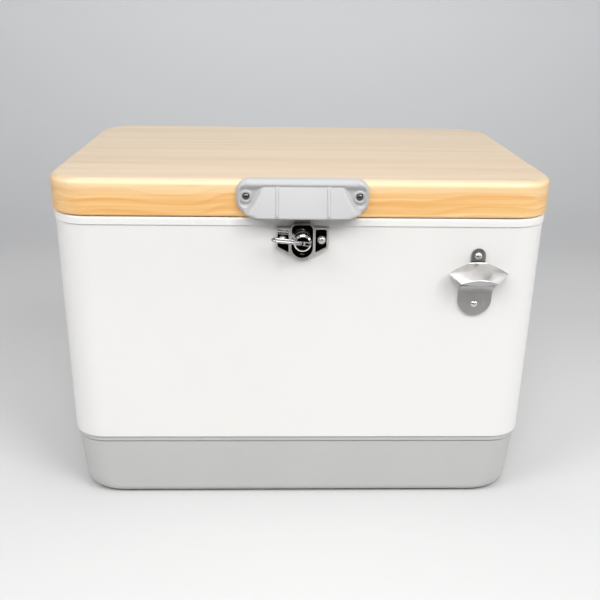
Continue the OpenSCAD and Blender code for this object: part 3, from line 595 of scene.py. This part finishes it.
def sdf(x, z):
    ax = abs(x)
    if ax > HW - RT and z > ZT - RT:
        return RT - math.hypot(ax - HW + RT, z - ZT + RT)
    if ax > HW - RB and z < ZB + RB:
        return RB - math.hypot(ax - HW + RB, z - ZB - RB)
    return min(HW - ax, ZT - z, z - ZB)


def sm(a, b, v):
    v = min(1, max(0, (v - a) / (b - a)))
    return v * v * (3 - 2 * v)


def pull_front(x, z):
    ax = abs(x)
    d = sdf(x, z)
    # central hood: slopes out towards the bottom, narrower at its top
    t = (z - ZB) / (403.6 - ZB)
    hood = 5.6 + 15.0 * (1 - min(1, max(0, t))) ** 0.92
    hood *= 1 - 0.10 * (ax / 60) ** 2
    edge_x = 44.5 + 21.0 * (1 - min(1, max(0, t))) ** 1.35      # hood's side boundary at this height
    inside = sm(4.5, -2.5, ax - edge_x)
    flange = 6.6
    pocket = 3.8
    # dish around the screw, between the hood and the raised border
    r = math.hypot(ax - 62.5, z - 391.3)
    border = sm(5.5, 2.5, d)
    low = pocket + 2.2 * sm(9.5, 12.5, r) * sm(397, 382, z)
    boss = sm(7.6, 6.6, r) * 1.3
    side = max(low + boss, low + (flange - low) * border)
    body = side + (hood - side) * inside
    # top roll stands above the panel line
    roll = sm(402.3 - 4.5 * (1 - inside), 404.7, z)
    body = body + (6.9 - body) * roll
    # two upright ribs on the panel
    rib = sm(1.75, 1.05, abs(ax - 28.2)) * sm(403.6, 401.6, z) * sm(ZB + 1.0, ZB + 4.0, z)
    body += 1.55 * rib
    # screw counterbore
    body -= sm(4.6, 4.2, r) * 1.9
    # rounded outline; the bottom edge of the hood only eases
    dside = sdf(x, max(z, ZB + RB * 0.999)) if ax <= HW - RB else d
    e = 5.0
    k = min(1, max(0, d / e))
    f = math.sqrt(max(0, 1 - (1 - k) ** 2))
    kb = min(1, max(0, (z - ZB) / 2.2))
    ease = body - 2.4 * (1 - math.sqrt(max(0, 1 - (1 - kb) ** 2)))
    m = sm(HW - RB + 9, HW - RB - 6, ax) * sm(ZB + 14, ZB + 6, z)
    dn = min(1, max(0, (ZT - z) / 6.0))
    ft = math.sqrt(max(0, 1 - (1 - dn) ** 2))
    full = body * (f if ax > HW - RT or z < 396 else ft)
    return full * (1 - m) + ease * m


def pull_back(x, z):
    ax = abs(x)
    if z > 401.0:
        q = z - 401.0
        return -(8.2 - math.sqrt(max(0, 8.2 ** 2 - min(q, 8.19) ** 2))) * 0.98 + 0.05
    front = pull_front(x, z)
    t = (z - ZB) / (398 - ZB)
    if t >= 1:
        return 0.05
    edge_x = 43.0 + 8 * (1 - t)
    inside = sm(2.0, -3.0, ax - edge_x) * sm(1.0, 0.86, t)
    return 0.05 + max(0, front - 2.9 - (0.9 * sm(1.7, 0.8, abs(ax - 28.2)))) * inside


NX, NZ = 168, 76
zs = [ZB + (ZT - ZB) * (0.5 - 0.5 * math.cos(math.pi * (0.02 + 0.96 * i / NZ))) for i in range(NZ + 1)]
zs = sorted(set([ZB, ZT - 0.02] + zs[1:-1]))
us = np.linspace(-1, 1, NX + 1)
us = np.sign(us) * (1 - (1 - np.abs(us)) ** 1.25)
verts, faces = [], []
rows_f, rows_b = [], []
for z in zs:
    X = half_w(z)
    row = []
    for u in us:
        x = u * X
        row.append(len(verts))
        verts.append((x, FACE - max(pull_front(x, z), 0.06), z))
    rows_f.append(row)
# over the top, back to the board
for p, z in ((-2.5, ZT), (-5.5, ZT), (-7.6, ZT - 0.15)):
    row = []
    for u in us:
        row.append(len(verts))
        verts.append((u * half_w(ZT - 0.02), FACE - p, z))
    rows_f.append(row)
for z in zs:
    X = half_w(z)
    row = []
    for u in us:
        x = u * X
        row.append(len(verts))
        verts.append((x, FACE - min(pull_back(x, z), pull_front(x, z) - 0.0), z))
    rows_b.append(row)
n = len(us)
for a, b in zip(rows_f, rows_f[1:]):
    for i in range(n - 1):
        faces.append((a[i], a[i + 1], b[i + 1], b[i]))
for a, b in zip(rows_b, rows_b[1:]):
    for i in range(n - 1):
        faces.append((a[i], b[i], b[i + 1], a[i + 1]))
for i in range(n - 1):
    faces.append((rows_f[0][i + 1], rows_f[0][i], rows_b[0][i], rows_b[0][i + 1]))
    faces.append((rows_f[-1][i], rows_f[-1][i + 1], rows_b[-1][i + 1], rows_b[-1][i]))
for side in (0, n - 1):
    loopf = [r[side] for r in rows_f]
    loopb = [r[side] for r in rows_b]
    m = len(loopb)
    for k in range(m - 1):
        q = (loopf[k], loopf[k + 1], loopb[k + 1], loopb[k])
        faces.append(q if side == 0 else q[::-1])
    extra = loopf[m - 1:]
    poly = tuple(extra) + (loopb[m - 1],)
    faces.append(poly if side == 0 else poly[::-1])
pull = make("lid_pull", verts, faces, angle=48, wn=False)
stands_for(pull, "pull_plastic", "lid", "lid_pull_handle")

# ------------------------------------------------------------------ bottle opener
OX, OB = 201.0, -187.45


def lerp(a, b, t):
    return a + (b - a) * t


def sheet(rows, cols=41):
    """rows of callables or (u -> (x, p, z)) tables become one open grid; p is the height above the wall."""
    v, f = [], []
    for r in rows:
        for i in range(cols):
            u = -1 + 2 * i / (cols - 1)
            x, p, z = r(u)
            v.append((OX + x, OB - p, z))
    for j in range(len(rows) - 1):
        for i in range(cols - 1):
            k = j * cols + i
            f.append((k, k + cols, k + cols + 1, k + 1))
    return v, f


def row_tab(z):
    h = 8.2 * math.sqrt(max(0.0, 1 - (max(z - 324.0, 0) / 8.2) ** 2))
    h = max(h, 0.25)
    return lambda u: (u * h, 2.0, z)


def row_hood(v):
    hx = lerp(8.2, 34.5, (v / 0.46) ** 0.86) if v < 0.46 else lerp(34.5, 21.6, (v - 0.46) / 0.54)
    ze = lerp(315, 304.6, (v / 0.46) ** 1.25) if v < 0.46 else lerp(304.6, 296.0, (v - 0.46) / 0.54)
    pe = lerp(2.0, 9.5, v / 0.46) if v < 0.46 else lerp(9.5, 20.3, (v - 0.46) / 0.54)
    zc = lerp(315, 301.8, v ** 1.15)
    pc = 2 + 22.6 * (1 - (1 - v) ** 1.08)

    def f(u):
        k = (math.sqrt(max(0.0, abs(u) - 0.3) ** 2 + 0.012) - 0.1095) / 0.599 if abs(u) > 0.3 else 0.0
        return (u * hx, lerp(pc, pe, k), lerp(zc, ze, abs(u) ** 1.8))
    return f


def row_lip(w):
    def f(u):
        x, p, z = row_hood(1.0)(u)
        zb = lerp(294.9, 294.6, abs(u) ** 2)
        return (x * (1 - 0.02 * w), p + 0.25 - 1.9 * w, lerp(z, zb, w) - 0.15)
    return f


def row_plate(z):
    h = 19.6 * math.sqrt(max(0.0, 1 - (max(270.8 - z, 0) / 19.6) ** 2))
    return lambda u: (u * max(h, 0.4), 2.0, z)


def row_jaw(t):
    pz = [(2.0, 279.6), (3.2, 280.2), (6.5, 283.4), (10.4, 287.4), (12.3, 289.6), (12.9, 290.9), (12.4, 291.7), (11.2, 291.6)]
    p_, z_ = pz[t]
    return lambda u: (u * 19.6, p_, z_)


rows = [row_tab(332.2 - 8.2 * (1 - math.cos(math.radians(90 * i / 9)))) for i in range(10)]
rows += [row_tab(321), row_tab(318), row_tab(316.1)]
rows += [row_hood(i / 26) for i in range(1, 27)]
rows += [row_lip(w) for w in (0.02, 0.25, 0.6, 1.0)]
v, f = sheet(rows)
op1 = make("opener_hood", v, f, 42, wn=False)
rows = [row_plate(251.25 + 19.5 * (1 - math.cos(math.radians(90 * i / 14)))) for i in range(15)]
rows += [row_plate(275), row_plate(278.6)] + [row_jaw(i) for i in range(8)]
v, f = sheet(rows)
f = [q[::-1] for q in f]
op2 = make("opener_plate", v, f, 42, wn=False)
web = [(-6.5, 313.0, 1.9), (6.5, 313.0, 1.9), (6.5, 276.0, 1.9), (-6.5, 276.0, 1.9)]
op3 = make("web", [(OX + x, OB - p_, z) for p_ in (0.25, 1.9) for x, z, _ in web], [(0, 1, 2, 3), (7, 6, 5, 4), (0, 4, 5, 1), (1, 5, 6, 2), (2, 6, 7, 3), (3, 7, 4, 0)], 30, wn=False)
for o in (op1, op2):
    # turn every face outwards, then give the sheet its thickness
    me = o.data
    up = sum((p.normal.y * p.area for p in me.polygons), 0.0)
    if up > 0:
        me.flip_normals()
    m = o.modifiers.new("t", "SOLIDIFY")
    m.thickness = 1.75 * MM
    m.offset = -1
    m.use_even_offset = False
    m.use_rim = True
    dg = bpy.context.evaluated_depsgraph_get()
    dg.update()
    o.data = bpy.data.meshes.new_from_object(o.evaluated_get(dg))
    o.modifiers.clear()
boolean(op1, op3)
boolean(op1, op2)
op1.name = "bottle_opener_body"
tidy(op1, 40, wn=False)
bv = op1.modifiers.new("bevel", "BEVEL")
bv.width = 0.28 * MM
bv.segments = 2
bv.limit_method = "ANGLE"
bv.angle_limit = math.radians(50)
bv.harden_normals = False
stands_for(op1, "steel_brushed", "chest", "bottle_opener")

# ------------------------------------------------------------------ small CAD parts
BEVEL = {
    "latch_housing": 0.8, "turn_knob": 0.7, "strike_strap": 0.2, "pull_loop": 0, "left_handle_plate": 0.5, "right_handle_plate": 0.5,
    "hinge_body_leaves": 0.3, "hinge_lid_leaves": 0.3, "hinge_pins": 0.3, "bottle_opener": 0.25, "drain_cap": 0.6, "drain_nut": 0.5, "drain_spout": 0.3,
    "base_feet": 0.6, "left_grip": 0.8, "right_grip": 0.8, "lid_liner": 0.5, "hinge_pads": 0.2, "lid_gasket": 0.4, "latch_screws": 0.12, "opener_screws": 0.12,
    "side_handle_screws": 0.12, "hinge_body_screws": 0.12, "hinge_lid_screws": 0.12, "pull_handle_screws": 0.12, "latch_cam": 0.2, "drain_gasket": 0.2,
}
for n, ob in NODES.items():
    ob.data.shade_smooth()
    ob.data.set_sharp_from_angle(angle=math.radians(34))
    w = BEVEL.get(n, 0)
    if w:
        b = ob.modifiers.new("bevel", "BEVEL")
        b.width = w * MM
        b.segments = 3 if w >= 0.7 else 2
        b.limit_method = "ANGLE"
        b.angle_limit = math.radians(40)
        b.harden_normals = True
        b.use_clamp_overlap = True
    m = ob.modifiers.new("wn", "WEIGHTED_NORMAL")
    m.keep_sharp = True

# ------------------------------------------------------------------ floor, backdrop, light
sw = []
prof = [(-0.95, 0), (1.1, 0)]
R = 1.1
for i in range(1, 25):
    a = math.radians(90 * i / 24)
    prof.append((1.1 + R * math.sin(a), R * (1 - math.cos(a))))
prof.append((1.1 + R, 4.2))
v, f = [], []
for i, (y, z) in enumerate(prof):
    v += [(-80, y, z), (80, y, z)]
    if i:
        f.append((2 * i - 2, 2 * i - 1, 2 * i + 1, 2 * i))
me = bpy.data.meshes.new("sweep")
me.from_pydata(v, [], f)
me.shade_smooth()
sweep = bpy.data.objects.new("studio_sweep", me)
bpy.context.scene.collection.objects.link(sweep)
t = Tree("paper sweep")
tc = t.n("ShaderNodeTexCoord")
sp = t.n("ShaderNodeSeparateXYZ")
t.l(tc.outputs["Object"], sp.inputs[0])
# the paper's colour is graded along its run, darkest on the floor about a metre behind the chest and paler up the
# curve: painted shade and light
g = t.math("ADD", sp.outputs["Y"], t.math("MULTIPLY", sp.outputs["Z"], 1.0))
col = t.ramp(t.maprange(g, -1.2, 3.2, 0, 1), [(0.0, (0.655, 0.655, 0.655)), (0.30, (0.64, 0.64, 0.64)), (0.48, (0.56, 0.562, 0.568)), (0.62, (0.665, 0.671, 0.684)), (0.85, (0.87, 0.877, 0.895)), (1.0, (0.89, 0.897, 0.915))])
t.l(t.mix(t.math("MULTIPLY", t.noise(t.coord(), 3, 3, 0.5), 0.05), col, (0.78, 0.78, 0.79, 1)), t.b.inputs["Base Color"])
t.b.inputs["Roughness"].default_value = 0.8
t.b.inputs["Specular IOR Level"].default_value = 0.15
# far from the chest the paper glows an even grey for camera rays only, easing into the plain grey seen past its
# ends: painted light
painted_glow_mask = t.math("MAXIMUM", t.maprange(t.math("ABSOLUTE", sp.outputs["X"]), 3.2, 11, 0, 1, True), t.maprange(t.math("MULTIPLY", sp.outputs["Y"], -1.0), 2.2, 5.8, 0, 1, True))
lpw = t.n("ShaderNodeLightPath")
glow = t.n("ShaderNodeEmission")
glow.inputs["Color"].default_value = (0.8, 0.8, 0.8, 1)
glow.inputs["Strength"].default_value = 0.45
both = t.n("ShaderNodeMixShader")
t.l(t.math("MULTIPLY", painted_glow_mask, lpw.outputs["Is Camera Ray"]), both.inputs[0])
t.l(t.b.outputs[0], both.inputs[1])
t.l(glow.outputs[0], both.inputs[2])
t.l(both.outputs[0], t.out.inputs["Surface"])
me.materials.append(t.m)
# the paper's front part, only for views from behind: it neither lights the chest nor shows in the chrome
me2 = bpy.data.meshes.new("sweep_front")
me2.from_pydata([(-80, -6.0, 0), (80, -6.0, 0), (80, -0.95, 0), (-80, -0.95, 0)], [], [(0, 1, 2, 3)])
me2.materials.append(t.m)
front = bpy.data.objects.new("studio_sweep_front", me2)
bpy.context.scene.collection.objects.link(front)
front.visible_glossy = False
front.visible_diffuse = False


def area(name, loc, target, size, power, color=(1, 1, 1), sy=None):
    li = bpy.data.lights.new(name, "AREA")
    li.energy = power
    li.color = color
    li.shape = "RECTANGLE"
    li.size = size
    li.size_y = sy or size
    ob = bpy.data.objects.new(name, li)
    ob.location = loc
    ob.rotation_euler = (Vector(target) - Vector(loc)).to_track_quat("-Z", "Y").to_euler()
    bpy.context.scene.collection.objects.link(ob)
    return ob


area("Key softbox", (1.25, -1.5, 2.0), (0, 0, 0.2), 1.1, 33.5)
area("Left softbox", (-1.6, -1.2, 1.7), (0, 0, 0.2), 1.0, 22)
area("Top softbox", (0.0, -0.15, 2.4), (0, 0.0, 0), 1.9, 17, sy=2.3)

area("Front fill", (-0.1, -1.45, 1.6), (0, 0, 0.25), 0.6, 12, sy=0.8)
area("Right strip", (1.9, -0.55, 0.95), (0.2, -0.2, 0.3), 0.7, 5.2, sy=0.9)

world = bpy.data.worlds.new("Studio")
bpy.context.scene.world = world
world.use_nodes = True
nt = world.node_tree
bg = nt.nodes["Background"]
tcw = nt.nodes.new("ShaderNodeTexCoord")
spw = nt.nodes.new("ShaderNodeSeparateXYZ")
nt.links.new(tcw.outputs["Generated"], spw.inputs[0])
mr = nt.nodes.new("ShaderNodeMapRange")
mr.inputs["From Min"].default_value = -0.25
mr.inputs["From Max"].default_value = 0.75
mr.inputs["To Min"].default_value = 0.02
mr.inputs["To Max"].default_value = 0.85
nt.links.new(spw.outputs["Z"], mr.inputs["Value"])
fr = nt.nodes.new("ShaderNodeMapRange")
fr.inputs["From Min"].default_value = -0.75
fr.inputs["From Max"].default_value = 0.1
fr.inputs["To Min"].default_value = 0.12
fr.inputs["To Max"].default_value = 1.0
nt.links.new(spw.outputs["Y"], fr.inputs["Value"])
ml = nt.nodes.new("ShaderNodeMath")
ml.operation = "MULTIPLY"
nt.links.new(mr.outputs["Result"], ml.inputs[0])
nt.links.new(fr.outputs["Result"], ml.inputs[1])
lp = nt.nodes.new("ShaderNodeLightPath")
seen = nt.nodes.new("ShaderNodeMix")
seen.data_type = "FLOAT"
nt.links.new(lp.outputs["Is Camera Ray"], seen.inputs[0])
nt.links.new(ml.outputs["Value"], seen.inputs[2])
seen.inputs[3].default_value = 0.8
nt.links.new(seen.outputs[0], bg.inputs["Color"])
bg.inputs["Strength"].default_value = 0.45

# ------------------------------------------------------------------ camera
yaw, pitch, roll = -0.0329, 0.3625, -0.0158
right0 = Vector((math.cos(yaw), math.sin(yaw), 0))
fwd0 = Vector((-math.sin(yaw), math.cos(yaw), 0))
fwd = fwd0 * math.cos(pitch) - Vector((0, 0, 1)) * math.sin(pitch)
up0 = fwd0 * math.sin(pitch) + Vector((0, 0, 1)) * math.cos(pitch)
right = right0 * math.cos(roll) - up0 * math.sin(roll)
up = right0 * math.sin(roll) + up0 * math.cos(roll)
cam = bpy.data.cameras.new("Camera")
cam.sensor_width = 36
cam.lens = 807.0962 / 600 * 36
cam_ob = bpy.data.objects.new("Camera", cam)
cam_ob.matrix_world = Matrix((
    (right.x, up.x, -fwd.x, -0.029903),
    (right.y, up.y, -fwd.y, -1.058631),
    (right.z, up.z, -fwd.z, 0.598974),
    (0, 0, 0, 1)))
bpy.context.scene.collection.objects.link(cam_ob)
bpy.context.scene.camera = cam_ob
bpy.context.scene.view_settings.view_transform = "Standard"
bpy.context.scene.view_settings.look = "None"
cam.clip_start, cam.clip_end = 0.02, 30
